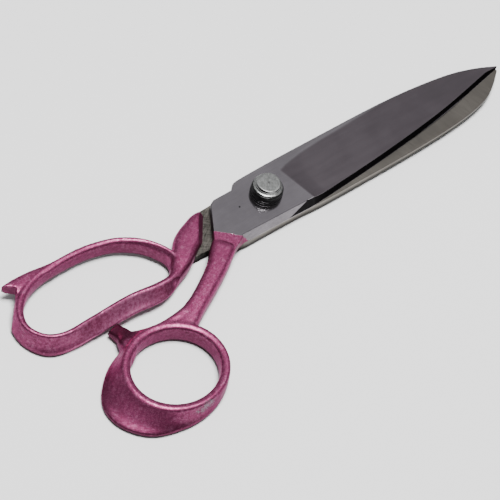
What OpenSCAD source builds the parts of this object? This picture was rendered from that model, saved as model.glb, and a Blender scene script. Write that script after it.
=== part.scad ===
// Tailor's shears: two crossed steel leaves with cast handles, joined by one pivot.
// The origin is on the pivot axis, in the plane that the pair lies on. +X runs to the
// points of the closed blades, +Z up through the upper leaf, and the round thumb bow
// is on the -Y side. Lengths are in millimetres.

/* [Leaves] */
// Height of the plane where the two leaves meet, above the plane they lie on
part_z = 5.5; // [5.2:0.1:7]
// Thickness of each leaf at the pivot
leaf_t = 4.65; // [4:0.05:5]
// Play between the two flat inner faces
leaf_play = 0.1; // [0.04:0.02:0.2]
// Thickness of a blade at its point
point_t = 1.5; // [1:0.1:2.5]
// Thickness of a blade just above its cutting edge, near the pivot
edge_t = 2.3; // [1.6:0.1:3]
// Angle of the edge bevel from the inner face
edge_angle = 62; // [45:1:75]
// Angle of the flat's sloping side from the inner face
side_angle = 72; // [65:1:85]
// Radius of the hollow ground along each inner face
hollow_r = 160; // [120:5:240]
// Depth of that hollow
hollow_depth = 0.35; // [0.1:0.05:0.6]
// Distance from the pivot to the points
blade_reach = 141.5; // [130:0.5:145]

/* [Pivot] */
// Radius of the bolt's round shank
shank_r = 4; // [3.5:0.1:4.5]
// Radial play of the upper leaf on the shank
pivot_play = 0.05; // [0.02:0.01:0.1]
// Radius of the bolt's low head, under the lower leaf
head_r = 6.5; // [6:0.1:7.5]
// Thickness of that head
head_t = 2; // [1.6:0.1:2.5]
// Width across the bolt's square neck
neck_w = 8; // [7.6:0.1:9]
// Radius of the threaded end inside the nut
thread_r = 3; // [2.5:0.1:3.4]
// Radius of the spring washer and of the rubber ring on it
ring_r = 7.35; // [7:0.05:8]
// Thickness of the spring washer
spring_t = 1.1; // [0.8:0.1:1.4]
// Thickness of the rubber ring
rubber_t = 3.3; // [2.5:0.1:4]
// Radius and thickness of the nut's flange
flange_r = 6.65; // [6:0.05:7]
flange_t = 1.3; // [1:0.1:1.6]
// Radius of the nut's step
step_r = 5.9; // [5.6:0.1:6.1]
// Radius and height of the nut's boss
boss_r = 5.2; // [4.4:0.1:5.5]
boss_h = 1.7; // [1.4:0.1:2.4]

/* [Handles] */
// Height of the bows' upper rim above the plane where the leaves meet
rim_z = 5; // [4.5:0.1:6]
// Depth of the handles below that plane
sole_z = 5.5; // [5:0.1:5.5]
// Half length of the thumb hole, along X
thumb_rx = 19.8; // [18:0.1:21]
// Half width of the thumb hole
thumb_ry = 17.8; // [16:0.1:19]
// Width of the rim around the thumb hole
thumb_rim = 4.1; // [3.5:0.1:5]
// Closing gap between the stop lug and the finger bow
stop_gap = 0.4; // [0.2:0.05:1]
// Radius round the pivot that the thumb handle keeps clear of, under the upper leaf
clear_r = 39.3; // [39:0.1:41]

/* [Hidden] */
$fn = 64;
big = 300;

// Outside of the leaf stack, measured from the plane where the leaves meet
leaf_in = leaf_play / 2;
leaf_out = leaf_in + leaf_t;
washer_z = leaf_out + pivot_play;
ring_z = washer_z + spring_t;
nut_z = ring_z + rubber_t;
head_z = head_t - part_z;

// Depth of the thread in the nut, measured from 1 mm below it
thread_h = flange_t + boss_h - 0.2;
// Clearance round the bolt's head and its square neck
head_play = 0.2;
neck_play = 0.05;
// Heel of the cutting edges, where the blades start to thin
heel_x = 16;
// Start and slant of the line across each leaf where its ground face stops
grind_x = 12.4;
grind_turn = -10;
// Line along which the finger handle's shoulder is cut, and how far the cut leans back
shoulder_at = [-35.6, -0.4];
shoulder_turn = -39.5;
shoulder_lean = -24;

// Centre of the thumb hole
thumb_centre = [-89.8, -50];
// Sections along a bow, and points round each section
rings = 72;
sides = 16;

// ---- Smooth curves through a few chosen points ----

// One point of a Catmull-Rom curve between p1 and p2, at the fraction u
function between(p0, p1, p2, p3, u) =
    p1 + 0.5 * u * (p2 - p0 + u * (2*p0 - 5*p1 + 4*p2 - p3 + u * (3*(p1 - p2) + p3 - p0)));

// A closed curve of n points through the list p
function loop_curve(p, n) = let (m = len(p))
    [for (k = [0:n-1]) let (t = k * m / n, i = floor(t))
        between(p[(i + m - 1) % m], p[i % m], p[(i + 1) % m], p[(i + 2) % m], t - i)];

// An open curve of n points through the list p
function line_curve(p, n) = let (m = len(p))
    [for (k = [0:n-1]) let (t = k * (m - 1) / (n - 1), i = min(floor(t), m - 2))
        between(p[max(i - 1, 0)], p[i], p[i + 1], p[min(i + 2, m - 1)], t - i)];

function unit(v) = v / norm(v);

// ---- Handle castings ----

// Section of a bow, as [distance outwards from the hole, height] points. It has an upright
// inner wall, a rim of width a, and an outer wall that leans out to b at the sole.
function bow_section(a, b, top, sole) = let (h = top - sole, d = b - a) loop_curve([
    [0.2*a, sole + 0.05*h], [0, sole + 0.27*h], [0, top - 0.25*h], [0.15*a, top - 0.06*h],
    [0.5*a, top], [0.9*a, top - 0.04*h], [a + 0.18*d, top - 0.24*h],
    [a + 0.62*d, top - 0.58*h], [b, sole + 0.22*h], [0.88*b, sole + 0.04*h],
    [0.5*b, sole]], sides);

// Closed skin over n rings of m points each; the rings close on themselves when looped
module skin(points, n, m, looped) {
    last = looped ? n - 1 : n - 2;
    end = (n - 1) * m;
    walls = [for (i = [0:last], j = [0:m-1], half = [0, 1])
        let (p = i*m, q = ((i + 1) % n)*m, r = (j + 1) % m)
        half == 0 ? [p + j, q + r, p + r] : [p + j, q + j, q + r]];
    ends = looped ? [] : [for (j = [1:m-2], far = [0, 1])
        far == 0 ? [0, j, j + 1] : [end, end + j + 1, end + j]];
    polyhedron(points, concat(walls, ends), convexity = 8);
}

// A bow: its section carried round the hole's outline, which runs anticlockwise
module bow(hole, sizes) {
    n = len(hole);
    points = [for (i = [0:n-1])
        let (t = unit(hole[(i + 1) % n] - hole[(i + n - 1) % n]), s = sizes[i])
        for (q = bow_section(s[0], s[1], s[2], s[3]))
            [hole[i][0] + t[1]*q[0], hole[i][1] - t[0]*q[0], q[1]]];
    skin(points, n, sides, true);
}

// A bar through stations of [x, y, half width, top, sole], with a rounded-square section
module bar(stations, n, squareness = 3) {
    s = line_curve(stations, n);
    e = 2 / squareness;
    points = [for (i = [0:n-1])
        let (p = s[i], d = s[min(i + 1, n - 1)] - s[max(i - 1, 0)], t = unit([d[0], d[1]]))
        for (j = [0:sides-1])
        let (c = cos(360*j/sides), w = sin(360*j/sides),
             across = p[2]*sign(c)*pow(abs(c), e), up = sign(w)*pow(abs(w), e))
            [p[0] - t[1]*across, p[1] + t[0]*across, (p[3] + p[4])/2 + (p[3] - p[4])/2*up]];
    skin(points, n, sides, false);
}

// Round thumb bow: the outer wall leans far out at the back, away from the blades
module thumb_bow() {
    hole = [for (k = [0:rings-1]) let (a = 360*k/rings)
        thumb_centre + [thumb_rx*cos(a), thumb_ry*sin(a)]];
    lean = [4.8, 4.8, 5, 5, 6.8, 10.6, 15.8, 13.7, 8.5, 5.6, 4.4, 4.5];
    bow(hole, loop_curve([for (b = lean) [thumb_rim, b, rim_z, -sole_z]], rings));
}

// Long finger bow: a heavy bar on the side of the thumb bow, a slim one on the other
module finger_bow() {
    outline = [[-129.3, 1], [-127, 7], [-122, 12], [-115, 15.6], [-105, 17.4], [-90, 17.4],
               [-80, 15.8], [-72, 12.9], [-64.5, 7.3], [-60, 1], [-58.3, -4], [-59.5, -8],
               [-64, -11], [-72, -11.6], [-85, -10.2], [-105, -10.5], [-117, -10.6],
               [-124, -8.6], [-128, -4.5]];
    // At each point of the outline: the rim's width, the wall's lean and the sole's depth
    rim = [3.3, 3.6, 3.6, 3.4, 3.3, 3.3, 3.3, 3.5, 3.8, 4, 4, 4, 3.6, 2.8, 2.2, 2.2, 2.6,
           2.4, 2.6];
    lean = [5.2, 5.8, 4.6, 3.6, 3.3, 3.3, 3.3, 3.5, 3.8, 4, 4, 4, 5.4, 7.2, 7.6, 6.6, 5.7,
            6, 5.4];
    sole = [5.5, 5, 4.5, 4, 4, 4, 4, 4, 4, 4.2, 4.5, 5, 3.5, 2, 1.5, 3, 5, 5.5, 5.5];
    n = len(outline);
    back = [for (k = [0:n-1]) let (i = (n - k) % n) outline[i]];
    sizes = [for (k = [0:n-1]) let (i = (n - k) % n) [rim[i], lean[i], rim_z, -sole[i]]];
    bow(loop_curve(back, rings + 18), loop_curve(sizes, rings + 18));
}

module finger_handle_blank() {
    finger_bow();
    // Shank from the lower leaf
    bar([[-28.5, 3, 3.6, 5.3, -5.2], [-33, 3.7, 5.1, 5.3, -5.2], [-38, 2.2, 5.5, 5.3, -5.2],
         [-46, -1.6, 5.8, 5.3, -5.2], [-54, -6.8, 5.4, 5.3, -5.2], [-62, -13.4, 2.4, 4.8, -5]],
        16, 3.6);
    // Spur past the back of the bow, cut off at a slant
    difference() {
        bar([[-98, 19.2, 1.6, 4.8, -3], [-106, 19.2, 2.2, 4.9, -2.4], [-114, 19.6, 2.9, 4.9, -1.2],
             [-122, 19.3, 3.4, 5, -0.8], [-129, 18.6, 3.6, 5, -0.6]], 14, 4);
        translate([-124.9, 19.5, -20]) rotate([0, 0, 49]) translate([-20, -20, 0]) cube([20, 40, 40]);
    }
}

module thumb_handle_blank() {
    thumb_bow();
    // Shank from the upper leaf
    bar([[-32.6, -11.2, 5.6, 5.8, -5.2], [-37.2, -14.9, 5.2, 5.8, -5.2],
         [-43.5, -19.4, 4.5, 5.8, -5.2], [-52.6, -24.6, 4.2, 5.6, -5.2],
         [-60.4, -28.6, 4.1, 5.4, -5.2], [-65.6, -31, 4.5, 5.2, -5.2], [-70, -33.2, 4.6, 5, -5],
         [-75, -33.9, 3.2, 4.9, -5], [-79, -32.8, 1.8, 4.8, -5]], 20, 4);
    // Web from the shank, over the bow, to the stop lug
    bar([[-56, -24.8, 2.6, 4.5, -5], [-66, -29.6, 3, 5.1, -5], [-78, -30.3, 1.9, 5, -5],
         [-86, -30, 2.1, 4.8, -5], [-92, -28.2, 2.6, 3.6, -5], [-96, -25, 2, 1.8, -4.8]], 14, 3);
    // Stop lug, which meets the finger bow's heavy bar when the pair is closed
    bar([[-97.6, -17.3 - stop_gap, 2.2, -0.3, -4.6], [-97.2, -20.5, 2.6, 0.5, -4.8],
         [-96.6, -24, 3.5, 1.9, -5], [-98, -28.5, 4.4, 3.2, -5], [-99.8, -31.5, 3.2, 3, -5]], 12, 4);
}

// ---- Steel leaves, drawn as the upper one, with the inner face down ----

// Half space over a plane along the direction a, through [x, y, z], that falls towards
// the right-hand side at the given angle
module over_plane(at, a, fall) {
    translate(at) rotate([0, 0, a]) rotate([fall, 0, 0])
        translate([-big, -big, 0]) cube([2*big, 2*big, 60]);
}

// Everything outside a plane that leans in at the angle from the inner face, along the
// stretch of outline from p to q
module side_cut(p, q, angle) {
    way = atan2(q[1] - p[1], q[0] - p[0]);
    translate([p[0], p[1], leaf_in]) rotate([0, 0, way]) rotate([180 - angle, 0, 0])
        translate([-1, -20, 0]) cube([norm(q - p) + 2, 40, 8]);
}

// Steel of one leaf. The outline is spine, edge and root, in turn; the spine band ends
// band_y from the pivot, and the ground face runs down from it to the edge.
module leaf(spine, edge, root, band_y, edge_y) {
    outline = concat(line_curve(spine, 20), line_curve(edge, 14), root);
    fall = atan((leaf_t - edge_t) / (band_y - edge_y));
    taper = atan((leaf_t - point_t) / (blade_reach - heel_x));
    difference() {
        translate([0, 0, leaf_in]) linear_extrude(leaf_t) polygon(outline);
        // Ground face, which stops at a line across the leaf
        intersection() {
            over_plane([0, band_y, leaf_out], 0, fall);
            translate([grind_x, -40, -1]) rotate([0, 0, grind_turn]) cube([200, 80, 20]);
        }
        // Thinning to the point
        translate([heel_x, 0, leaf_out]) rotate([0, taper, 0])
            translate([0, -50, 0]) cube([200, 100, 20]);
        // Edge bevel, in chords along the edge
        chords = line_curve(edge, 5);
        for (k = [0:3]) side_cut(chords[k + 1], chords[k], edge_angle);
        // Sloping side of the flat, from the root's first point to the heel
        side_cut(root[0], chords[4], side_angle);
        // Hollow along the inner face
        translate([26, (band_y + edge_y)/2 + 1, leaf_in + hollow_depth - hollow_r])
            rotate([0, 90, 2.5]) cylinder(r = hollow_r, h = 96, $fn = 180);
    }
}

// Outline points run anticlockwise: spine from the heel to the point, edge back to the heel
upper_spine = [[-10.2, 11.4], [-4, 12.3], [30, 12.5], [72, 12.4], [96, 11.3], [118, 8.7],
               [132, 4.9], [blade_reach, 0.8]];
upper_edge = [[blade_reach - 0.2, 0.3], [130, -1.9], [100, -7.4], [60, -11.9], [heel_x, -15]];
upper_root = [[-23, -13.9], [-27, -14.9], [-31, -16.6], [-47.5, -24.2], [-50.5, -18.8],
              [-37, -10], [-34.8, -6.6], [-24.8, 8.3], [-22.6, 9.3], [-12.4, 9.3]];

lower_spine = [[-21, 14.1], [8, 14.4], [24, 15.3], [60, 15.6], [86, 15.3], [106, 14.2],
               [121, 11.9], [131, 7.9], [blade_reach - 0.3, 0.8]];
lower_edge = [[blade_reach - 0.6, 0.4], [130, -0.4], [100, -4], [60, -8.8], [heel_x, -11.8]];
lower_root = [[-30, -9.8], [-36, -6.4], [-53, 2.6], [-55.6, 8], [-42, 3],
              [-38.3, 4.6], [-31, 11], [-25.5, 13.6]];

module upper_steel() {
    leaf(upper_spine, upper_edge, upper_root, 8.4, -14.2);
}

module lower_steel() {
    rotate([180, 0, 0]) leaf(lower_spine, lower_edge, lower_root, 11, -11.2);
}

// ---- Sub-parts ----

module lower_blade() {
    color("silver") translate([0, 0, part_z]) difference() {
        lower_steel();
        // Counterbore for the bolt's head, and the square hole for its neck
        hole_w = neck_w + 2*neck_play;
        translate([0, 0, -20]) cylinder(r = head_r + head_play, h = 20 + head_z + 0.01);
        translate([-hole_w/2, -hole_w/2, -10]) cube([hole_w, hole_w, 20]);
    }
}

module upper_blade() {
    color("silver") translate([0, 0, part_z]) difference() {
        upper_steel();
        translate([0, 0, -1]) cylinder(r = shank_r + pivot_play, h = 20);
    }
}

module finger_handle() {
    color("palevioletred") translate([0, 0, part_z]) difference() {
        finger_handle_blank();
        lower_steel();
        // Shoulder, cut back along the rear edge of the upper leaf
        translate([each shoulder_at, leaf_in]) rotate([0, shoulder_lean, shoulder_turn])
            translate([0, -40, -30]) cube([40, 80, 80]);
    }
}

module thumb_handle() {
    color("palevioletred") translate([0, 0, part_z]) difference() {
        thumb_handle_blank();
        upper_steel();
        translate([0, 0, leaf_in - 20]) cylinder(r = clear_r, h = 20);
    }
}

module pivot_bolt() {
    color("gainsboro") translate([0, 0, part_z]) {
        translate([0, 0, -part_z]) cylinder(r = head_r, h = head_t);
        translate([-neck_w/2, -neck_w/2, head_z - 0.5]) cube([neck_w, neck_w, 0.3 - head_z]);
        translate([0, 0, head_z]) cylinder(r = shank_r, h = nut_z - head_z);
        translate([0, 0, nut_z - 1]) cylinder(r = thread_r, h = thread_h);
    }
}

// Flat ring round the shank
module washer(r, z, t) {
    translate([0, 0, z + part_z]) difference() {
        cylinder(r = r, h = t);
        translate([0, 0, -1]) cylinder(r = shank_r + pivot_play, h = t + 2);
    }
}

module spring_washer() {
    color("dimgray") washer(ring_r, washer_z, spring_t);
}

module rubber_ring() {
    color("black") washer(ring_r - 0.1, ring_z, rubber_t);
}

module cap_nut() {
    color("lightgray") translate([0, 0, part_z + nut_z]) difference() {
        union() {
            cylinder(r = flange_r, h = 0.7*flange_t);
            cylinder(r = step_r, h = flange_t + 0.3*boss_h);
            cylinder(r = boss_r, h = flange_t + boss_h);
        }
        translate([0, 0, -1]) cylinder(r = thread_r, h = thread_h);
    }
}

lower_blade();
finger_handle();
upper_blade();
thumb_handle();
pivot_bolt();
spring_washer();
rubber_ring();
cap_nut();
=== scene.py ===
import math

import bpy
import numpy as np
from mathutils import Matrix, Vector


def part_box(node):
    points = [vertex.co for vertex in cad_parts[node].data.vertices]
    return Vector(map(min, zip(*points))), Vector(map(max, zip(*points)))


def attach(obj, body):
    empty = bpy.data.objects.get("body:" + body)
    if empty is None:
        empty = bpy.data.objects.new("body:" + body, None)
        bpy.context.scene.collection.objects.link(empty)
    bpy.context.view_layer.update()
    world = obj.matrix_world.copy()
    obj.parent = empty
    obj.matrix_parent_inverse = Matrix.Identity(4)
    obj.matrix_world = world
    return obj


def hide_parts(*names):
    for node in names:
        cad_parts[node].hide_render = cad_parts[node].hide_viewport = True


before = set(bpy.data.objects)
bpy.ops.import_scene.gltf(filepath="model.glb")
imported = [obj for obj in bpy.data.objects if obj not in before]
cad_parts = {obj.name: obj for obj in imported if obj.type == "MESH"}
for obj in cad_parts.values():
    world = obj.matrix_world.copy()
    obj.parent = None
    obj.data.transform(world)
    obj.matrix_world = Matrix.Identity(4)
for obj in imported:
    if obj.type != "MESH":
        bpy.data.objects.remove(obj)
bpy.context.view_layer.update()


# ---------------------------------------------------------------- Camera, floor and light
# The pair lies flat on a pale table, seen from behind the bows and above, with the picture
# turned a little. A broad soft box hangs overhead, and the sky is brighter past the points.

CAMERA_TARGET = Vector((-0.0231, -0.0183, 0.0055))
CAMERA_DISTANCE = 1.2
CAMERA_ELEVATION = math.radians(53)
CAMERA_HEADING = math.radians(38.5)     # way the camera looks in plan, from +X towards +Y
CAMERA_ROLL = math.radians(15.5)
CAMERA_LENS = 198.7                     # on a 36 mm sensor

ahead = Vector((math.cos(CAMERA_ELEVATION) * math.cos(CAMERA_HEADING),
                math.cos(CAMERA_ELEVATION) * math.sin(CAMERA_HEADING),
                -math.sin(CAMERA_ELEVATION)))
level = Vector((math.sin(CAMERA_HEADING), -math.cos(CAMERA_HEADING), 0))
upright = level.cross(ahead)
across = math.cos(CAMERA_ROLL) * level + math.sin(CAMERA_ROLL) * upright
upward = math.cos(CAMERA_ROLL) * upright - math.sin(CAMERA_ROLL) * level

camera_data = bpy.data.cameras.new("camera")
camera_data.lens = CAMERA_LENS
camera_data.clip_start = 0.05
camera = bpy.data.objects.new("camera", camera_data)
bpy.context.collection.objects.link(camera)
turn = Matrix((across, upward, -ahead)).transposed().to_4x4()
camera.matrix_world = Matrix.Translation(CAMERA_TARGET - CAMERA_DISTANCE * ahead) @ turn
bpy.context.scene.camera = camera


class Finish:
    """A new material and its node tree, with short ways to add and join nodes."""

    def __init__(self, name):
        self.material = bpy.data.materials.new(name)
        self.material.use_nodes = True
        self.nodes = self.material.node_tree.nodes
        self.surface = self.nodes["Principled BSDF"]
        self.place = self.nodes.new("ShaderNodeTexCoord").outputs["Object"]

    def join(self, source, target):
        self.material.node_tree.links.new(source, target)

    def put(self, node, **values):
        """Sets input sockets by name; a socket given another node's output is joined to it."""
        for name, value in values.items():
            socket = node.inputs[name.replace("_", " ")]
            if isinstance(value, bpy.types.NodeSocket):
                self.join(value, socket)
            else:
                socket.default_value = value
        return node

    def stretched(self, scale, turn=0.0):
        """Object coordinates scaled along X, Y and Z, after a turn about Z in degrees."""
        node = self.nodes.new("ShaderNodeMapping")
        node.vector_type = "POINT"
        first = self.nodes.new("ShaderNodeMapping")
        first.inputs["Rotation"].default_value = (0, 0, math.radians(turn))
        self.join(self.place, first.inputs["Vector"])
        self.join(first.outputs["Vector"], node.inputs["Vector"])
        node.inputs["Scale"].default_value = scale
        return node.outputs["Vector"]

    def noise(self, vector, scale, detail=3.0, roughness=0.55):
        node = self.put(self.nodes.new("ShaderNodeTexNoise"), Vector=vector, Scale=scale,
                        Detail=detail, Roughness=roughness)
        return node.outputs["Fac"]

    def ramp(self, value, low, high, start=0.0, end=1.0):
        """Value mapped from low..high to start..end, smooth and clamped."""
        node = self.nodes.new("ShaderNodeMapRange")
        node.interpolation_type = "SMOOTHSTEP"
        self.join(value, node.inputs["Value"])
        for name, number in (("From Min", low), ("From Max", high),
                             ("To Min", start), ("To Max", end)):
            node.inputs[name].default_value = number
        return node.outputs["Result"]

    def sum(self, a, b, operation="ADD"):
        node = self.nodes.new("ShaderNodeMath")
        node.operation = operation
        for value, socket in ((a, node.inputs[0]), (b, node.inputs[1])):
            if isinstance(value, bpy.types.NodeSocket):
                self.join(value, socket)
            else:
                socket.default_value = value
        return node.outputs["Value"]

    def blend(self, amount, one, other, kind="RGBA"):
        """Mix of two colours, or of two numbers, by an amount from 0 to 1."""
        node = self.nodes.new("ShaderNodeMix")
        node.data_type = kind
        first = {"RGBA": 6, "FLOAT": 2}[kind]
        for value, socket in ((amount, node.inputs[0]), (one, node.inputs[first]),
                              (other, node.inputs[first + 1])):
            if isinstance(value, bpy.types.NodeSocket):
                self.join(value, socket)
            else:
                socket.default_value = value
        return node.outputs[{"RGBA": 2, "FLOAT": 0}[kind]]

    def raised(self, height, distance, strength=1.0, normal=None):
        """Bump from a height, whose full step is the distance in metres."""
        node = self.put(self.nodes.new("ShaderNodeBump"), Height=height, Distance=distance,
                        Strength=strength)
        if normal is not None:
            self.join(normal, node.inputs["Normal"])
        return node.outputs["Normal"]

    def attribute(self, name):
        node = self.nodes.new("ShaderNodeAttribute")
        node.attribute_name = name
        return node.outputs["Fac"]


# The table is a plain pale sheet.
FLOOR_SIZE = 6.0
floor_mesh = bpy.data.meshes.new("floor")
half = FLOOR_SIZE / 2
floor_mesh.from_pydata([(-half, -half, 0), (half, -half, 0), (half, half, 0), (-half, half, 0)],
                       [], [(0, 1, 2, 3)])
floor = bpy.data.objects.new("floor", floor_mesh)
bpy.context.collection.objects.link(floor)
paper = Finish("paper")
paper.put(paper.surface, Base_Color=(0.80, 0.80, 0.80, 1), Roughness=0.9)
floor_mesh.materials.append(paper.material)

SKY_BRIGHT = (0.42, 0.42, 0.43, 1)
SKY_DIM = (0.09, 0.09, 0.093, 1)
world = bpy.data.worlds.new("studio")
bpy.context.scene.world = world
world.use_nodes = True
sky = world.node_tree
aim = sky.nodes.new("ShaderNodeTexCoord")
side = sky.nodes.new("ShaderNodeVectorMath")
side.operation = "DOT_PRODUCT"
side.inputs[1].default_value = (0.55, 0.75, 0.35)
sky.links.new(aim.outputs["Generated"], side.inputs[0])
fall = sky.nodes.new("ShaderNodeMapRange")
fall.interpolation_type = "SMOOTHSTEP"
fall.inputs["From Min"].default_value = -0.2
fall.inputs["From Max"].default_value = 1.0
sky.links.new(side.outputs["Value"], fall.inputs["Value"])
sky_colour = sky.nodes.new("ShaderNodeMix")
sky_colour.data_type = "RGBA"
sky_colour.inputs[6].default_value = SKY_DIM
sky_colour.inputs[7].default_value = SKY_BRIGHT
sky.links.new(fall.outputs["Result"], sky_colour.inputs[0])
sky.links.new(sky_colour.outputs[2], sky.nodes["Background"].inputs["Color"])
sky.nodes["Background"].inputs["Strength"].default_value = 1.2


def soft_box(name, place, aim_at, size, power):
    """A square area light at one place, aimed at another."""
    data = bpy.data.lights.new(name, "AREA")
    data.shape = "SQUARE"
    data.size = size
    data.energy = power
    lamp = bpy.data.objects.new(name, data)
    lamp.location = place
    lamp.rotation_euler = (Vector(aim_at) - Vector(place)).to_track_quat("-Z", "Y").to_euler()
    bpy.context.collection.objects.link(lamp)


soft_box("overhead", (-0.05, -0.1, 1.6), (0, 0, 0), 0.55, 62)
soft_box("low_side", (0.9, -0.95, 0.3), (-0.09, -0.02, 0), 0.9, 2.0)


# ---------------------------------------------------------------- Lower blade
# Forged steel leaf under the pair: a tang inside the finger bow's handle, a flat at the
# pivot, and a hollow-ground blade whose inner face shows past the upper blade. The real leaf
# has a square hole for the bolt; this mesh has none, and the bolt passes through it.

LEAF_IN = 0.05          # inner face above the plane where the leaves meet, mm
LEAF_OUT = 4.70         # outer face above that plane
HEEL_X = 16             # where the cutting edges end and the blades start to thin
POINT_T = 1.5           # thickness taken as left at the point
HEEL_EDGE, POINT_EDGE = 2.3, 1.25       # height of the edge's bevel at its two ends
GRIND_X, GRIND_SLANT = 12.6, 0.18       # line across the leaf where the grind stops
GRIND_RUN = 9.0         # length over which the grind runs out
PART_Z = 1000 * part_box("upper_blade")[0][2] - LEAF_IN   # that plane above the table
REACH = 1000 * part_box("upper_blade")[1][0]


def between(p, n, closed=False):
    """n points on a Catmull-Rom curve: each stretch is the cubic through two neighbours whose
    slopes are half the step from the point before to the point after."""
    p = np.asarray(p, float)
    m = len(p)
    t = np.arange(n) * m / n if closed else np.arange(n) * (m - 1) / (n - 1)
    i = np.floor(t).astype(int) if closed else np.minimum(np.floor(t).astype(int), m - 2)
    u = (t - i)[:, None]
    pick = (lambda k: p[k % m]) if closed else (lambda k: p[np.clip(k, 0, m - 1)])
    a, b, c, d = pick(i - 1), pick(i), pick(i + 1), pick(i + 2)
    return b + 0.5 * u * (c - a + u * (2 * a - 5 * b + 4 * c - d + u * (3 * (b - c) + d - a)))


def made_of(name, points, faces, finish, angle=35):
    """A mesh object from points in millimetres above the meeting plane, smooth except where
    two faces meet at more than the angle."""
    mesh = bpy.data.meshes.new(name)
    metres = (np.asarray(points, float) + (0, 0, PART_Z)) / 1000
    mesh.from_pydata(metres, [], faces)
    mesh.shade_smooth()
    mesh.set_sharp_from_angle(angle=math.radians(angle))
    mesh.materials.append(finish.material)
    thing = bpy.data.objects.new(name, mesh)
    bpy.context.collection.objects.link(thing)
    return thing


def ring_faces(rings, around, first=0):
    """Quads between rings of equal counts, each ring joined to itself."""
    i, j = np.meshgrid(np.arange(rings - 1), np.arange(around), indexing="ij")
    k = (j + 1) % around
    quads = np.stack([i * around + j, (i + 1) * around + j,
                      (i + 1) * around + k, i * around + k], -1)
    return (quads.reshape(-1, 4) + first).tolist()


def step(x, low, high):
    """Smooth step from 0 at low to 1 at high."""
    t = np.clip((x - low) / (high - low), 0, 1)
    return t * t * (3 - 2 * t)


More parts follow.
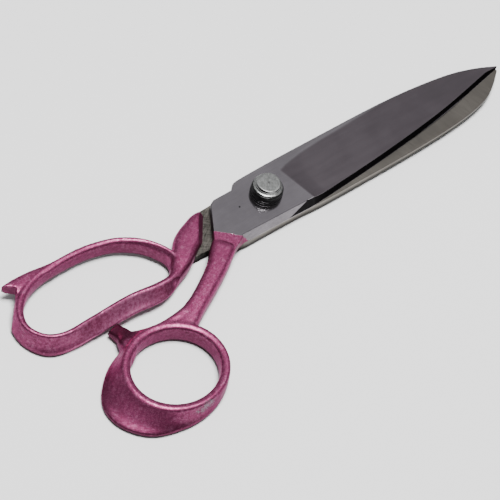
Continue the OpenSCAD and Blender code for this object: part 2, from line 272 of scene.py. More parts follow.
class Leaf:
    """One forged leaf in its own coordinates, inner face down. At every station x a closed
    section runs along the inner face, up the spine, down the ground outer face and round the
    cutting edge, so the leaf is that section carried from the tang to the point. The hole at
    the pivot is not cut."""

    ACROSS = 56         # points over the outer face
    INNER = 24          # points over the inner face
    CORNER = 0.35       # rounding of the spine and of the flat's sides

    def __init__(self, spine, edge, tail_spine, tail_edge, band, side_from):
        self.spine = np.vstack([tail_spine, between(spine, 90)])
        self.edge = np.vstack([tail_edge, between(edge, 90)])
        self.band = np.array(band)
        self.side_from = side_from      # where the flat's sloping side starts, along X
        self.side_slope = 1.5           # how far that side leans in over the thickness

    def stations(self):
        corners = np.concatenate([self.spine[:12, 0], self.edge[:12, 0]])
        fine = np.arange(corners.min(), REACH, 0.9)
        tip = REACH - np.array([0.05, 0.3, 0.7])
        run_out = np.arange(11.5, 30, 0.35)
        low = max(self.spine[0, 0], self.edge[0, 0])
        high = min(self.spine[-1, 0], self.edge[-1, 0])
        x = np.unique(np.round(np.concatenate([fine, corners, tip, run_out]), 3))
        return x[(x >= low) & (x <= high)]

    def outer(self, x, y):
        """Height of the outer face: the flat, less the thinning to the point, less the grind
        that falls from the spine band to the edge. The grind starts at a slanting line and
        runs out in a hollow curve."""
        thin = (LEAF_OUT - POINT_T) * np.clip((x - HEEL_X) / (REACH - HEEL_X), 0, 1)
        band_y = np.interp(x, self.band[:, 0], self.band[:, 1])
        low = np.interp(x, self.edge[:, 0], self.edge[:, 1])
        wanted = np.interp(x, [HEEL_X, REACH], [HEEL_EDGE, POINT_EDGE])
        fall = (LEAF_OUT - thin - wanted) / np.maximum(band_y - low, 4.0)
        line = GRIND_X + GRIND_SLANT * (8.4 - y)
        run = np.clip((x - line) / GRIND_RUN, 0, 1)
        share = 1 - (1 - run) ** 2
        below = np.maximum(band_y - y, 0)
        soft = np.where(below < 1.5, below ** 2 / 3.0, below - 0.75)
        return LEAF_OUT - thin - fall * share * soft

    def mesh(self):
        x = self.stations()
        ys = np.interp(x, self.spine[:, 0], self.spine[:, 1])
        ye = np.interp(x, self.edge[:, 0], self.edge[:, 1])
        blade = np.clip((x - GRIND_X) / 1.6, 0, 1)
        room = np.maximum(ys - ye, 0.3)
        r = np.minimum(self.CORNER, room / 5)
        slope = self.side_slope * step(x, self.side_from - 4, self.side_from)
        edge_in = np.minimum(blade * 1.7 + (1 - blade) * (slope + r), room / 3)
        rows = []
        t = np.linspace(0, 1, self.INNER)
        for k in t:
            y = ye + (ys - ye) * k
            dish = 0.35 - (y - (ys + ye) / 2 + 1) ** 2 / 320
            along = step(x, 24, 40) * (1 - step(x, 104, 124))
            rows.append((y, LEAF_IN + np.maximum(dish, 0) * along))
        z_spine = self.outer(x, ys)
        for a in np.linspace(0, math.pi / 2, 5):
            rows.append((ys - r * (1 - np.cos(a)), z_spine - r * (1 - np.sin(a))))
        for k in np.linspace(0, 1, self.ACROSS)[1:]:
            y = ys - r + (ye + edge_in - ys + r) * k
            rows.append((y, self.outer(x, y)))
        z_edge = self.outer(x, ye + edge_in)
        for a in np.linspace(0, math.pi / 2, 5)[1:]:
            wall = (ye + slope + r * (1 - np.sin(a)), z_edge - r * (1 - np.cos(a)))
            share = 0.25 * a / (math.pi / 2)
            bevel = (ye + edge_in * (1 - share), z_edge + (LEAF_IN - z_edge) * share)
            rows.append(tuple(w * (1 - blade) + b * blade for w, b in zip(wall, bevel)))
        last = rows[-1]
        for k in (0.3, 0.6, 0.95):
            foot = (ye, np.full_like(ye, LEAF_IN))
            rows.append(tuple(a + (b - a) * k for a, b in zip(last, foot)))
        section = np.array(rows)
        points = np.stack([np.broadcast_to(x[:, None], (len(x), len(rows))),
                           section[:, 0].T, section[:, 1].T], -1)
        m = len(rows)
        faces = ring_faces(len(x), m)
        faces.append(list(range(m)))
        faces.append(list(range(len(x) * m - 1, (len(x) - 1) * m - 1, -1)))
        return points.reshape(-1, 3), faces, self.tones(points, blade)

    def tones(self, points, blade):
        """Where each finish lies, from 0 to 1: the wheel-ground face, which takes a painted dark
        reflection, the upright sides, which take painted shade, and the rough forged part behind
        the flat. "bevel" and "paint" are how far a point lies inside the painted shade of the
        cutting bevel and of the flat's edge wall, and past the paint's edge, in millimetres."""
        x, y, z = points.transpose(2, 0, 1)
        outer = np.arange(points.shape[1]) >= self.INNER + 5
        edge = np.arange(points.shape[1]) >= self.INNER + 4 + self.ACROSS
        band_y = np.interp(x, self.band[:, 0], self.band[:, 1])
        ground = step(x - GRIND_SLANT * (8.4 - y), 12.2, 13.6) * outer
        ground = ground * step(band_y - y, -0.1, 1.1)
        side = np.zeros_like(x)
        side[:, self.INNER:self.INNER + 4] = 1
        side[:, self.INNER + 5 + self.ACROSS:] = 1
        # Painted shade: all of the bevel along the blade, and on the flat the lower part of the
        # edge wall, rising with x from 2 mm.
        reach = np.where(blade[:, None] > 0, 5.0, (x - 2) / 11 * LEAF_OUT - z)
        return {"bevel": np.where(edge, reach, -5.0), "ground": ground, "side": side,
                "rough": step(-x, 20, 27) * ~outer,
                "paint": -0.69 * (x + 28.7) - 0.724 * (y + 8) + 0.3 * (LEAF_OUT - z)}


def tinted(f, tone, colour):
    """A colour scaled by a tone."""
    node = f.nodes.new("ShaderNodeVectorMath")
    node.operation = "SCALE"
    node.inputs[0].default_value = colour
    f.join(tone, node.inputs["Scale"])
    return node.outputs["Vector"]


def steel(name, flat, ground, roughness, grain_turn, grain, side, paint=None):
    """Ground steel: fine grinding lines, streaks of tone and faint clouds, with painted shade on
    the cutting bevel, the flat's edge wall and the upright sides and a painted dark reflection
    on the wheel-ground face; rough with crossed file marks behind the flat, and much darker there."""
    f = Finish(name)
    lines = f.noise(f.stretched((160, 7000, 160), grain_turn), 1.0, 2.0)
    streaks = f.noise(f.stretched((18, 420, 18), grain_turn), 1.0, 3.0)
    clouds = f.noise(f.place, 60.0, 3.0)
    filed = f.sum(f.noise(f.stretched((300, 2600, 300), 40), 1.0, 2.0),
                  f.noise(f.stretched((300, 2600, 300), -35), 1.0, 2.0))
    is_ground, is_rough = f.attribute("ground"), f.attribute("rough")
    tone = f.sum(f.ramp(lines, 0.3, 0.7, 1 - grain, 1 + grain),
                 f.ramp(streaks, 0.3, 0.7, 0.985, 1.015), "MULTIPLY")
    tone = f.sum(tone, f.ramp(clouds, 0.3, 0.7, 0.92, 1.08), "MULTIPLY")
    # Painted shade: the bevel and the flat's edge wall darkened to 4 % of the tone.
    tone = f.sum(tone, f.ramp(f.attribute("bevel"), -0.15, 0.15, 1.0, 0.04), "MULTIPLY")
    specks = f.noise(f.stretched((700, 2400, 2400), grain_turn), 1.0, 4.0, 0.7)
    specks = f.ramp(specks, 0.35, 0.65, -0.16, 0.16)
    # Painted shade on the upright sides: their tone scaled by the side factor.
    tone = f.sum(tone, f.ramp(f.attribute("side"), 0.0, 1.0, 1.0, side), "MULTIPLY")
    tone = f.sum(tone, f.sum(f.sum(specks, f.attribute("side"), "MULTIPLY"), 1.0), "MULTIPLY")
    marks = f.sum(f.ramp(filed, 0.7, 1.3, -0.90, -0.50), is_rough, "MULTIPLY")
    tone = f.sum(tone, f.sum(marks, 1.0), "MULTIPLY")
    colour = tinted(f, tone, flat)
    if ground is not None:
        # Painted dark reflection: the wheel-ground face takes the darker ground colour.
        colour = f.blend(is_ground, colour, tinted(f, tone, ground))
    rough = f.sum(f.ramp(streaks, 0.25, 0.75, -0.01, 0.015), roughness)
    rough = f.sum(rough, f.sum(is_rough, 0.25, "MULTIPLY"))
    rough = f.sum(rough, f.sum(is_ground, 0.08, "MULTIPLY"))
    rough = f.sum(rough, f.sum(f.attribute("side"), 0.15, "MULTIPLY"))
    normal = f.raised(filed, 0.00004, 0.6, f.raised(lines, 0.000002, 0.5)) if ground is None else \
        f.raised(lines, 0.000002, 0.5)
    metal = 1.0
    if ground is not None:
        # A punched dot on the flat, in front of the nut
        gap = f.put(f.nodes.new("ShaderNodeVectorMath"), Vector=f.place)
        gap.operation = "DISTANCE"
        gap.inputs[1].default_value = PUNCHED_DOT
        dot = f.ramp(gap.outputs["Value"], 0.0003, 0.0005, 1.0, 0.0)
        colour = f.blend(dot, colour, (0.01, 0.01, 0.01, 1))
    if paint is not None:
        waver = f.ramp(f.noise(f.place, 500.0, 2.0), 0.3, 0.7, -0.25, 0.25)
        ragged = f.sum(f.attribute("paint"), waver)
        painted = f.ramp(ragged, -0.05, 0.12)
        enamelled, flakes, dull = paint(f)
        colour = f.blend(painted, colour, enamelled)
        normal = f.raised(painted, 0.00003, 0.6, f.blend(painted, normal, flakes))
        metal = f.blend(painted, 1.0, FLAKE_METAL, "FLOAT")
        rough = f.blend(painted, rough, dull, "FLOAT")
    f.put(f.surface, Base_Color=colour, Metallic=metal, Roughness=rough, Normal=normal,
          Specular_Tint=(0.6, 0.6, 0.6, 1))
    return f


def leaf_object(name, leaf, finish, flip):
    points, faces, tones = leaf.mesh()
    if flip:
        points = points * (1, -1, -1)
    thing = made_of(name, points, faces, finish, 28)
    for part, share in tones.items():
        painted = thing.data.attributes.new(part, "FLOAT", "POINT")
        painted.data.foreach_set("value", share.reshape(-1).astype(np.float32))
    return thing


lower_leaf = Leaf(
    spine=[[-21, 14.1], [8, 14.4], [24, 15.3], [60, 15.6], [86, 15.3], [106, 14.2], [121, 11.9],
           [131, 7.9], [REACH - 0.3, 0.6]],
    edge=[[HEEL_X, -11.8], [60, -8.8], [100, -4], [130, -0.9], [REACH - 0.3, -0.5]],
    tail_spine=[[-55.6, 8.2], [-42, 8.4], [-38.3, 8.6], [-31, 11], [-25.5, 13.6]],
    tail_edge=[[-55.6, 8], [-53, 2.6], [-36, -6.4], [-30, -9.8]],
    band=[[12, 8], [30, 11], [60, 14], [90, 14], [REACH, 0.8]], side_from=-30)
# Its upright sides take painted shade at a tenth of the flat's tone.
lower_steel = steel("inner_face_steel", (0.20, 0.185, 0.165), None, 0.30, 78, 0.12, 0.10)
lower_blade = leaf_object("lower_blade_steel", lower_leaf, lower_steel, True)
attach(lower_blade, "lower_leaf")
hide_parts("lower_blade")


# ---------------------------------------------------------------- Finger bow and its shank
# Cast in one piece round the lower leaf's tang and enamelled all over: a long bow for three
# or four fingers, a spur past its back, and a slanted shoulder that the upper leaf passes.

def section(width, lean, top, sole, flare=0.0, count=32):
    """Sections of a bow as points of [distance out from the hole, height]: an upright inner
    wall, a rim of the given width, and an outer wall that leans out to the sole."""
    a, b = np.asarray(width, float), np.asarray(lean, float)
    f = np.asarray(flare, float) + 0 * width
    h, d = top - sole, lean - width
    knots = [[0.2 * a, sole + 0.05 * h], [0 * a, sole + 0.27 * h], [0.5 * f, top - 0.25 * h],
             [0.12 * a + f, top - 0.07 * h], [0.5 * a + 0.5 * f, top + 0 * a],
             [0.92 * a, top - 0.03 * h], [a + 0.18 * d, top - 0.24 * h],
             [a + 0.62 * d, top - 0.58 * h], [b, sole + 0.22 * h], [0.88 * b, sole + 0.04 * h],
             [0.5 * b, sole + 0 * b]]
    knots = np.array(knots).transpose(2, 0, 1)
    return np.array([between(k, count, closed=True) for k in knots])


def bow(hole, sizes):
    """The section carried round the hole's outline, which runs anticlockwise; each section
    stands across the outline's direction there."""
    way = np.roll(hole, -1, 0) - np.roll(hole, 1, 0)
    way /= np.linalg.norm(way, axis=1)[:, None]
    out = np.stack([way[:, 1], -way[:, 0]], 1)
    q = section(*sizes.T)
    plan = hole[:, None, :] + out[:, None, :] * q[:, :, :1]
    points = np.concatenate([plan, q[:, :, 1:]], -1)
    n, m = points.shape[:2]
    ringed = np.concatenate([points, points[:1]])
    faces = np.array(ring_faces(n + 1, m)) % (n * m)
    return ringed[:n].reshape(-1, 3), faces[:, ::-1].tolist()


def bar(stations, n, squareness=3.0, around=28):
    """A bar through stations of [x, y, half width, top, sole]; its section is a superellipse,
    round at squareness 2 and squarer above it."""
    s = between(stations, n)
    way = np.gradient(s[:, :2], axis=0)
    way /= np.linalg.norm(way, axis=1)[:, None]
    a = np.linspace(0, 2 * math.pi, around, endpoint=False)
    c, w = (np.sign(v) * np.abs(v) ** (2 / squareness) for v in (np.cos(a), np.sin(a)))
    side = np.stack([-way[:, 1], way[:, 0]], 1)
    plan = s[:, None, :2] + side[:, None, :] * (s[:, None, 2:3] * c[None, :, None])
    z = (s[:, 3:4] + s[:, 4:5]) / 2 + (s[:, 3:4] - s[:, 4:5]) / 2 * w[None, :]
    points = np.concatenate([plan, z[:, :, None]], -1)
    faces = ring_faces(n, around)
    faces.append(list(range(around)))
    faces.append(list(range(n * around - 1, (n - 1) * around - 1, -1)))
    return points.reshape(-1, 3), faces


def block(corner, size, turns=(), at=(0, 0, 0)):
    """A box from its lowest corner, turned about Y and Z in degrees, then moved."""
    low = np.array(corner, float)
    grid = np.array([[i, j, k] for i in (0, 1) for j in (0, 1) for k in (0, 1)], float)
    points = low + grid * np.array(size, float)
    for axis, degrees in turns:
        points = points @ np.array(Matrix.Rotation(math.radians(degrees), 3, axis)).T
    faces = [[0, 1, 3, 2], [4, 6, 7, 5], [0, 4, 5, 1], [2, 3, 7, 6], [0, 2, 6, 4], [1, 5, 7, 3]]
    return points + np.array(at, float), faces


def drum(radius, low, high, around=160):
    """An upright round solid about the pivot."""
    a = np.linspace(0, 2 * math.pi, around, endpoint=False)
    circle = np.stack([radius * np.cos(a), radius * np.sin(a)], 1)
    points = np.concatenate([np.column_stack([circle, np.full(around, z)]) for z in (low, high)])
    faces = ring_faces(2, around)
    faces.append(list(range(around - 1, -1, -1)))
    faces.append(list(range(around, 2 * around)))
    return points, [f[::-1] for f in faces[:around]] + faces[around:]


def smoothed(points, edges, rounds):
    """Each point moves towards the mean of its neighbours and then a little further back,
    which takes off small ripples and keeps the volume."""
    p = points.copy()
    a, b = edges.T
    count = np.bincount(np.concatenate([a, b]), minlength=len(p))[:, None]
    for k in range(rounds):
        for share in (0.5, -0.52):
            mean = np.zeros_like(p)
            for axis in range(3):
                mean[:, axis] = np.bincount(np.concatenate([a, b]),
                                            weights=np.concatenate([p[b, axis], p[a, axis]]),
                                            minlength=len(p))
            p += share * (mean / count - p)
    return p


def filleted(points, normals, edges, rounds, least):
    """Fills inside corners: a point whose neighbours' mean lies out past its surface by more
    than the least step moves out to it, so creases fill and outside edges stay."""
    p = points.copy()
    a, b = edges.T
    ends = np.concatenate([a, b])
    count = np.bincount(ends, minlength=len(p))[:, None]
    for k in range(rounds):
        mean = np.stack([np.bincount(ends, weights=np.concatenate([p[b, i], p[a, i]]),
                                     minlength=len(p)) for i in range(3)], 1) / count
        out = ((mean - p) * normals).sum(1)
        p += np.where(out > least, out, 0)[:, None] * normals * 0.8
    return p


def cast(name, parts, cutters, finish, coat, voxel=0.5):
    """One casting from overlapping closed parts: they are fused, the cutters are taken off,
    inside corners are filled, and the whole is smoothed as enamel smooths it. Coat is a
    function of points and normals: 1 where a painted sheen lightens the enamel, -1 where
    painted shade darkens it. Walls and undersides also take painted shade, more the further
    they face away from up."""
    points, faces = [], []
    for p, f in parts:
        first = sum(len(q) for q in points)
        points.append(p)
        faces += [[i + first for i in face] for face in f]
    rough = made_of(name + "_rough", np.concatenate(points), faces, finish)
    tools = [made_of(name + "_cutter", p, f, finish) for p, f in cutters]

    def remesh():
        fuse = rough.modifiers.new("fuse", "REMESH")
        fuse.mode = "VOXEL"
        fuse.voxel_size = voxel / 1000

    remesh()
    for tool in tools:
        cut = rough.modifiers.new("cut", "BOOLEAN")
        cut.operation = "DIFFERENCE"
        cut.solver = "EXACT"
        cut.object = tool
    if tools:
        remesh()
    graph = bpy.context.evaluated_depsgraph_get()
    fused = bpy.data.meshes.new_from_object(rough.evaluated_get(graph))
    for thing in [rough] + tools:
        bpy.data.objects.remove(thing)
    p = np.empty(len(fused.vertices) * 3)
    fused.vertices.foreach_get("co", p)
    p = p.reshape(-1, 3) * 1000
    e = np.empty(len(fused.edges) * 2, int)
    fused.edges.foreach_get("vertices", e)
    e = e.reshape(-1, 2)
    normals = np.empty(len(p) * 3)
    fused.vertex_normals.foreach_get("vector", normals)
    p = filleted(smoothed(p, e, 2), normals.reshape(-1, 3), e, 45, 0.035)
    p = smoothed(p, e, 7)
    fused.vertices.foreach_set("co", (p / 1000).ravel())
    fused.update()
    fused.vertex_normals.foreach_get("vector", normals)
    up = normals.reshape(-1, 3)[:, 2]
    # Painted shade: enamel on walls and undersides is darkened, more the further they face away
    # from up.
    wall_shade = 0.52 * (1 - step(up, 0.0, 0.4)) + 0.31 * (1 - step(up, -0.4, 0.0))
    sheen_and_shade = coat(p, normals.reshape(-1, 3))
    pale = np.maximum(sheen_and_shade, 0)
    for tone, share in (("wall", np.maximum(wall_shade * (1 - pale), -sheen_and_shade)), ("painted_sheen", pale)):
        painted = fused.attributes.new(tone, "FLOAT", "POINT")
        painted.data.foreach_set("value", share.astype(np.float32))
    fused.shade_smooth()
    fused.name = name
    fused.materials.clear()
    fused.materials.append(finish.material)
    thing = bpy.data.objects.new(name, fused)
    bpy.context.collection.objects.link(thing)
    return thing


ENAMEL = (0.225, 0.044, 0.112)
ENAMEL_DARK = (0.125, 0.018, 0.055)
ENAMEL_LIGHT = (0.50, 0.20, 0.34)
ENAMEL_WALL_SHADE = (0.020, 0.002, 0.007)       # painted shade on walls and undersides
ENAMEL_SHEEN = (0.46, 0.15, 0.28)          # painted sheen: the lighter tone where the heavy bar's slope catches the light
FLAKE_METAL = 0.85
BARE = (0.20, 0.21, 0.22)


def add_enamel(f):
    """Metallic flake enamel: coarse and fine flakes of differing tone and tilt under a clear
    coat, with a little orange peel, and painted shade and a painted sheen where the casting
    sets them. Returns its colour, flake normal and roughness."""
    cells = f.put(f.nodes.new("ShaderNodeTexVoronoi"), Vector=f.place, Scale=2600.0)
    coarse = f.put(f.nodes.new("ShaderNodeTexVoronoi"), Vector=f.place, Scale=900.0)
    split = f.nodes.new("ShaderNodeSeparateColor")
    f.join(cells.outputs["Color"], split.inputs["Color"])
    split_coarse = f.nodes.new("ShaderNodeSeparateColor")
    f.join(coarse.outputs["Color"], split_coarse.inputs["Color"])
    mottle = f.noise(f.place, 700.0, 4.0, 0.65)
    tone = f.blend(f.ramp(mottle, 0.3, 0.7), (*ENAMEL_DARK, 1), (*ENAMEL, 1))
    tone = f.blend(f.ramp(split.outputs["Red"], 0.6, 1.0, 0.0, 0.22), tone, (*ENAMEL_LIGHT, 1))
    large = f.ramp(split_coarse.outputs["Green"], 0.88, 1.0, 0.0, 0.22)
    tone = f.blend(large, tone, (*ENAMEL_LIGHT, 1))
    # Painted shade on walls and undersides.
    tone = f.blend(f.attribute("wall"), tone, (*ENAMEL_WALL_SHADE, 1))
    # Painted sheen: lighter enamel where the casting sets it.
    pale = f.blend(f.ramp(mottle, 0.3, 0.7), (*ENAMEL, 1), (*ENAMEL_SHEEN, 1))
    tone = f.blend(f.attribute("painted_sheen"), tone, pale)
    peel = f.noise(f.place, 260.0, 2.0)
    flakes = f.raised(split.outputs["Blue"], 0.00003, 0.5)
    normal = f.raised(peel, 0.00006, 0.5, flakes)
    return tone, normal, f.ramp(mottle, 0.3, 0.7, 0.46, 0.36)


def enamel(name, worn_at=None):
    f = Finish(name)
    tone, normal, rough = add_enamel(f)
    metal = FLAKE_METAL
    if worn_at is not None:
        gap = f.put(f.nodes.new("ShaderNodeVectorMath"), Vector=f.place)
        gap.operation = "SUBTRACT"
        gap.inputs[1].default_value = worn_at[0]
        long = f.nodes.new("ShaderNodeMapping")
        long.vector_type = "POINT"
        long.inputs["Rotation"].default_value = (0, 0, math.radians(worn_at[1]))
        f.join(gap.outputs["Vector"], long.inputs["Vector"])
        shaped = f.nodes.new("ShaderNodeVectorMath")
        shaped.operation = "MULTIPLY"
        shaped.inputs[1].default_value = worn_at[2]
        f.join(long.outputs["Vector"], shaped.inputs[0])
        size = f.nodes.new("ShaderNodeVectorMath")
        size.operation = "LENGTH"
        f.join(shaped.outputs["Vector"], size.inputs[0])
        waver = f.ramp(f.noise(f.place, 900.0, 4.0, 0.7), 0.25, 0.75, -0.6, 0.6)
        ragged = f.sum(size.outputs["Value"], waver)
        scratched = f.noise(f.stretched((500, 4000, 1500), -20), 1.0, 2.0)
        scratched = f.ramp(scratched, 0.40, 0.60, 0.15, 0.85)
        bare = f.sum(f.ramp(ragged, 0.6, 1.0, 1.0, 0.0), scratched, "MULTIPLY")
        tone = f.blend(bare, tone, (*BARE, 1))
        metal = f.blend(bare, FLAKE_METAL, 1.0, "FLOAT")
    f.put(f.surface, Base_Color=tone, Metallic=metal, Roughness=rough, Normal=normal,
          Coat_Weight=0.12, Coat_Roughness=0.2, Specular_IOR_Level=0.2,
          Specular_Tint=(0.75, 0.35, 0.55, 1))
    return f


RIM_Z = 5.0
finger_hole = [[-129.3, 1], [-127, 7], [-122, 12], [-115, 15.6], [-105, 17.4], [-90, 17.4],
               [-80, 15.8], [-72, 12.9], [-64.5, 7.3], [-60, 1], [-58.3, -4], [-59.5, -8],
               [-64, -11], [-72, -11.6], [-85, -10.2], [-105, -10.5], [-117, -10.6],
               [-124, -8.6], [-128, -4.5]]
finger_rim = [3.3, 3.6, 3.6, 3.4, 3.3, 3.3, 3.3, 3.5, 3.8, 4, 4, 4, 3.6, 2.8, 2.2, 2.2, 2.6,
              2.4, 2.6]
finger_lean = [5.2, 5.8, 4.6, 3.6, 3.3, 3.3, 3.3, 3.5, 3.8, 4, 4, 4, 5.4, 7.2, 7.6, 6.6, 5.7,
               6, 5.4]
finger_sole = [5.5, 5, 4.5, 4, 4, 4, 4, 4, 4, 4.2, 4.5, 5, 3.5, 2, 1.5, 3, 5, 5.5, 5.5]
finger_flare = [0, 0, 0, 0, 0, 0, 0, 0.4, 1.0, 1.6, 1.8, 1.4, 0.6, 0, 0, 0, 0, 0, 0]
RINGS = 240
hole_curve = between(finger_hole[::-1], RINGS, closed=True)
size_curve = between([[w, b, RIM_Z, -s, f] for w, b, s, f in
                      zip(finger_rim, finger_lean, finger_sole, finger_flare)][::-1],
                     RINGS, closed=True)
finger_shank = [[-28.5, 3, 3.6, 5.3, -5.2], [-33, 3.7, 5.1, 5.3, -5.2],
                [-38, 2.2, 5.5, 5.3, -5.2], [-46, -1.6, 5.8, 5.3, -5.2],
                [-53.2, -7.6, 4.5, 5.2, -5.2], [-62, -13.4, 2.2, 4.6, -5]]
finger_spur = [[-98, 19.2, 1.6, 4.8, -3], [-106, 19.2, 2.2, 4.9, -2.4],
               [-114, 19.6, 2.9, 4.9, -1.2], [-122, 19.3, 3.4, 5, -0.8], [-129, 18.6, 3.6, 5, -0.6]]
spur_cut = block((-20, -2.4, -20), (20, 20, 40), (("Z", 49),), (-124.9, 19.5, 0))
shoulder_cut = block((0, -40, -30), (40, 80, 80), (("Y", -24), ("Z", -39.5)),
                     (-35.6, -0.4, LEAF_IN + 0.05))


def painted_sheen(p, normal):
    """Painted sheen on the slope of the heavy bar that faces the thumb bow, between its two ends,
    lit like a top face.
    """
    x, y = p[:, 0], p[:, 1]
    return step(-normal[:, 1], 0.2, 0.5) * step(-y, 8, 11) * step(-x, 56, 70) * step(x, -126, -112)


# The heavy bar's slope facing the thumb bow takes a painted sheen.
finger_bow = cast("finger_bow_casting",
                  [bow(hole_curve, size_curve), bar(finger_shank, 60, 3.6),
                   bar(finger_spur, 50, 4)],
                  [shoulder_cut, spur_cut], enamel("finger_bow_enamel"), painted_sheen)
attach(finger_bow, "lower_leaf")
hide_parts("finger_handle")


# ---------------------------------------------------------------- Upper blade
# The other forged leaf, on top: a polished flat round the pivot with a notch in its back,
# then the ground blade. Enamel from the handle laps over the flat's rear corner. Its hole for
# the bolt is not cut either.

upper_leaf = Leaf(
    spine=[[-10.2, 11.4], [-4, 12.3], [30, 12.5], [72, 12.4], [96, 11.3], [118, 8.7],
           [132, 4.9], [REACH, 0.8]],
    edge=[[HEEL_X, -15], [60, -11.9], [100, -7.4], [130, -1.9], [REACH, 0.3]],
    tail_spine=[[-50.5, -18.8], [-37, -10], [-34.8, -6.6], [-24.8, 8.3], [-22.6, 9.3],
                [-12.4, 9.3]],
    tail_edge=[[-50.5, -25.7], [-47.5, -24.2], [-31, -16.6], [-27, -14.9], [-23, -13.9]],
    band=[[12.4, 6.4], [17, 7.8], [27.6, 9.5], [40, 10.5], [53, 11], [75, 12.2], [REACH, 12.2]],
    side_from=-23)
PUNCHED_DOT = (-0.0151, 0.0001, (PART_Z + LEAF_OUT) / 1000)
# The second colour is a painted dark reflection on the wheel-ground face, and the upright sides
# take painted shade at half the flat's tone.
upper_steel = steel("ground_steel", (0.36, 0.335, 0.36), (0.175, 0.152, 0.168), 0.15, 0,
                    0.035, 0.50, add_enamel)
upper_blade = leaf_object("upper_blade_steel", upper_leaf, upper_steel, False)
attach(upper_blade, "upper_leaf")
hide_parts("upper_blade")


# ---------------------------------------------------------------- Thumb bow and its shank
# The second casting, round the upper leaf's tang: a round bow whose back leans far out, a
# web over it, and a lug that meets the finger bow's bar when the pair is shut.

THUMB_CENTRE = (-89.8, -50)
THUMB_RX, THUMB_RY = 19.8, 17.8
THUMB_RIM = 4.1
thumb_lean = [4.8, 4.8, 5, 5, 6.8, 10.6, 15.8, 13.7, 8.5, 5.6, 4.4, 4.5]
angle = np.linspace(0, 2 * math.pi, RINGS, endpoint=False)
thumb_hole = np.stack([THUMB_CENTRE[0] + THUMB_RX * np.cos(angle),
                       THUMB_CENTRE[1] + THUMB_RY * np.sin(angle)], 1)
thumb_sizes = between([[THUMB_RIM, b, RIM_Z, -5.5, 0] for b in thumb_lean], RINGS, closed=True)
thumb_shank = [[-31.2, -10.2, 5.0, 3.9, -5.2], [-33.4, -11.9, 5.5, 5.6, -5.2],
               [-37.2, -14.9, 5.2, 5.8, -5.2],
               [-43.5, -19.4, 4.5, 5.8, -5.2], [-52.6, -24.6, 4.2, 5.6, -5.2],
               [-60.4, -28.6, 4.1, 5.4, -5.2], [-65.6, -31, 4.5, 5.2, -5.2],
               [-70, -33.2, 4.6, 5, -5],
               [-75, -33.9, 3.2, 4.9, -5], [-79, -32.8, 1.8, 4.8, -5]]
thumb_web = [[-56, -24.8, 2.6, 4.5, -5], [-66, -29.6, 3, 5.1, -5], [-78, -30.3, 1.9, 5, -5],
             [-86, -30, 2.1, 4.8, -5], [-92, -28.2, 2.6, 3.6, -5], [-96, -25, 2, 1.8, -4.8]]
stop_lug = [[-97.8, -17.7, 3.4, -0.3, -4.6], [-97.3, -20.5, 3.4, 0.5, -4.8],
            [-96.8, -24, 3.7, 1.9, -5],
            [-97.8, -28, 4.2, 3.2, -5], [-99.9, -31.8, 3.2, 3.2, -5],
            [-103.4, -35.4, 2, 3, -5]]
clearance = drum(39.3, -20, LEAF_IN + 0.05)


def painted_shade_thumb(p, normal):
    """Painted shade in the hollow between the web and the lug, and at the foot of the bow's broad
    back.
    """
    hollow = 0.75 * step(p[:, 1], -30, -26) * step(-p[:, 0], 90, 95)
    foot = 0.5 * step(-p[:, 2], -6, -3) * step(-p[:, 0] - p[:, 1], 135, 155)
    return -np.maximum(hollow, foot)


# The thumb bow takes painted shade at the lug's hollow and at the foot of its back.
thumb_bow = cast("thumb_bow_casting",
                 [bow(thumb_hole, thumb_sizes), bar(thumb_shank, 60, 4), bar(thumb_web, 60, 3),
                  bar(stop_lug, 60, 3)],
                 [clearance],
                 enamel("thumb_bow_enamel", ((-0.0905, -0.0718, 0.0082), 0, (190, 480, 400))),
                 painted_shade_thumb)
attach(thumb_bow, "upper_leaf")
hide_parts("thumb_handle")


# ---------------------------------------------------------------- Pivot bolt
# A turned steel bolt: a low head let into the lower leaf and a shank that the upper leaf
# turns on. The square neck that keeps the real bolt from turning in the lower leaf is not
# modelled; the bolt is round throughout. Its end is inside the nut.

def turned(name, profile, finish, around=128, angle=35):
    """A profile of [radius, height] points turned about the pivot; where the profile starts
    and ends on the axis the pole is closed by a fan."""
    a = np.linspace(0, 2 * math.pi, around, endpoint=False)
    profile = np.array(profile, float)
    ends = [profile[0, 0] < 1e-6, profile[-1, 0] < 1e-6]
    body = profile[1 if ends[0] else 0: -1 if ends[1] else None]
    points = np.stack([body[:, None, 0] * np.cos(a), body[:, None, 0] * np.sin(a),
                       body[:, None, 1] + 0 * a], -1).reshape(-1, 3)
    faces = [f[::-1] for f in ring_faces(len(body), around)]
    for pole, row in ((0, 0), (-1, len(body) - 1)):
        if not ends[pole]:
            continue
        centre = len(points)
        points = np.vstack([points, [0, 0, profile[pole, 1]]])
        ring = row * around + np.arange(around)
        fan = np.stack([ring, np.roll(ring, -1), np.full(around, centre)], 1)
        faces += (fan if pole == -1 else fan[:, ::-1]).tolist()
    if not ends[0]:
        n = len(body)
        top = (n - 1) * around
        faces += [[j, (j + 1) % around, top + (j + 1) % around, top + j][::-1]
                  for j in range(around)]
    thing = made_of(name, points, faces, finish, angle)
    normals = np.empty(len(points) * 3)
    thing.data.vertex_normals.foreach_get("vector", normals)
    # How far each point faces away from up, kept as "wall"; the zinc finish paints a highlight
    # there.
    facing_up = step(normals.reshape(-1, 3)[:, 2], 0.3, 0.9)
    wall = thing.data.attributes.new("wall", "FLOAT", "POINT")
    wall.data.foreach_set("value", 1 - facing_up.astype(np.float32))
    return thing


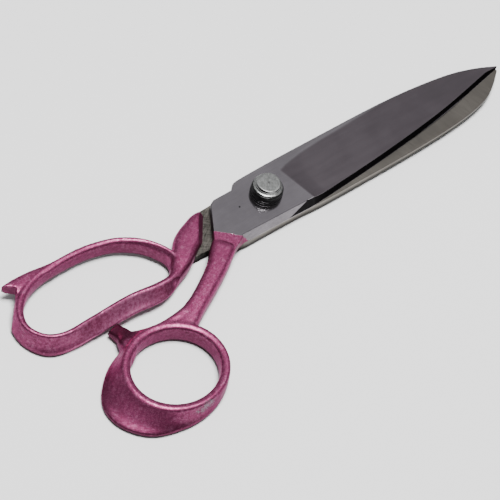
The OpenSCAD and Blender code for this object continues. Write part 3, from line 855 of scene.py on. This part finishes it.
def eased(corners, radius, count=5):
    """A profile through corners of [radius, height], each corner after the first and before
    the last rounded by a quadratic curve that starts the given distance from it."""
    out = [np.array(corners[0], float)]
    for before, here, after in zip(corners, corners[1:], corners[2:]):
        before, here, after = (np.array(p, float) for p in (before, here, after))
        back, on = before - here, after - here
        r = min(radius, 0.45 * np.linalg.norm(back), 0.45 * np.linalg.norm(on))
        start = here + back / np.linalg.norm(back) * r
        end = here + on / np.linalg.norm(on) * r
        t = np.linspace(0, 1, count)[:, None]
        out += list((1 - t) ** 2 * start + 2 * t * (1 - t) * here + t ** 2 * end)
    return out + [np.array(corners[-1], float)]


def zinc(name, colour=(0.245, 0.25, 0.245), roughness=0.36):
    """Dull zinc plate: fine slanting scratches, specks and faint patches, smoother on its walls,
    where a painted highlight also makes it a tenth brighter."""
    f = Finish(name)
    scratches = f.noise(f.stretched((3600, 420, 60), 25), 1.0, 3.0)
    specks = f.noise(f.place, 1400.0, 4.0, 0.7)
    patches = f.noise(f.place, 380.0, 3.0)
    tone = f.sum(f.ramp(scratches, 0.3, 0.7, 0.75, 1.15),
                 f.ramp(specks, 0.3, 0.7, 0.85, 1.08), "MULTIPLY")
    tone = f.sum(tone, f.ramp(patches, 0.3, 0.7, 0.85, 1.1), "MULTIPLY")
    # Painted highlight: the walls a tenth brighter.
    tone = f.sum(tone, f.ramp(f.attribute("wall"), 0.0, 1.0, 1.0, 1.1), "MULTIPLY")
    rough = f.sum(f.ramp(specks, 0.3, 0.7, roughness - 0.05, roughness + 0.10),
                  f.sum(f.attribute("wall"), -0.20, "MULTIPLY"))
    normal = f.raised(scratches, 0.000008, 0.6)
    f.put(f.surface, Base_Color=tinted(f, tone, colour), Metallic=1.0, Roughness=rough,
          Normal=normal)
    return f


HEAD_Z = -3.5
bolt = turned("pivot_bolt_turned", eased(
    [[0, -PART_Z], [6.5, -PART_Z], [6.5, HEAD_Z], [4.0, HEAD_Z], [4.0, 9.15], [3.0, 9.15],
     [3.0, 10.95], [0, 10.95]], 0.3), zinc("bolt_steel", (0.5, 0.49, 0.47), 0.3))
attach(bolt, "lower_leaf")
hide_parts("pivot_bolt")


# ---------------------------------------------------------------- Spring washer
# A thin blackened spring steel washer on the upper leaf, which keeps the leaves pressed
# together. It turns with the bolt and nut.

def black(name, colour, roughness, coat):
    """Black: rubber or oxide, with faint dust and moulding marks."""
    f = Finish(name)
    dust = f.noise(f.place, 900.0, 3.0)
    dusty = tuple(2 * c for c in colour)
    f.put(f.surface, Base_Color=f.blend(f.ramp(dust, 0.4, 0.8), (*colour, 1), (*dusty, 1)),
          Roughness=f.ramp(dust, 0.3, 0.7, roughness - 0.05, roughness + 0.08),
          Normal=f.raised(dust, 0.000003, 0.2), Coat_Weight=coat, Coat_Roughness=0.1,
          Specular_IOR_Level=0.15)
    return f


washer = turned("spring_washer_turned", eased(
    [[4.1, 4.75], [7.1, 4.75], [7.35, 4.95], [7.35, 5.6], [7.1, 5.85], [4.1, 5.85]], 0.15),
    black("washer_oxide", (0.006, 0.006, 0.0065), 0.3, 0.1))
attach(washer, "lower_leaf")
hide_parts("spring_washer")


# ---------------------------------------------------------------- Rubber ring
# A moulded black ring between the washer and the nut, a little barrel shaped.

ring = turned("rubber_ring_moulded", eased(
    [[4.1, 5.85], [6.95, 5.85], [7.25, 6.5], [7.25, 8.3], [6.85, 9.15], [4.1, 9.15]], 0.5),
    black("ring_rubber", (0.002, 0.002, 0.0022), 0.32, 0.05))
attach(ring, "lower_leaf")
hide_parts("rubber_ring")


# ---------------------------------------------------------------- Cap nut
# A round blind nut in dull zinc plate: a thin flange whose lower rim shows bright, partly
# from a faint painted highlight on the walls, and a boss whose flat top is scratched.

nut = turned("cap_nut_turned", eased(
    [[3.0, 9.15], [6.4, 9.15], [6.55, 9.3], [6.55, 9.75], [6.35, 9.95], [5.75, 10.15],
     [5.65, 10.75], [5.4, 10.9], [5.3, 11.95], [5.15, 12.1], [4.85, 12.15], [4.6, 12.15],
     [0.4, 12.15], [0, 12.15]], 0.08), zinc("nut_zinc"))
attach(nut, "lower_leaf")
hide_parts("cap_nut")
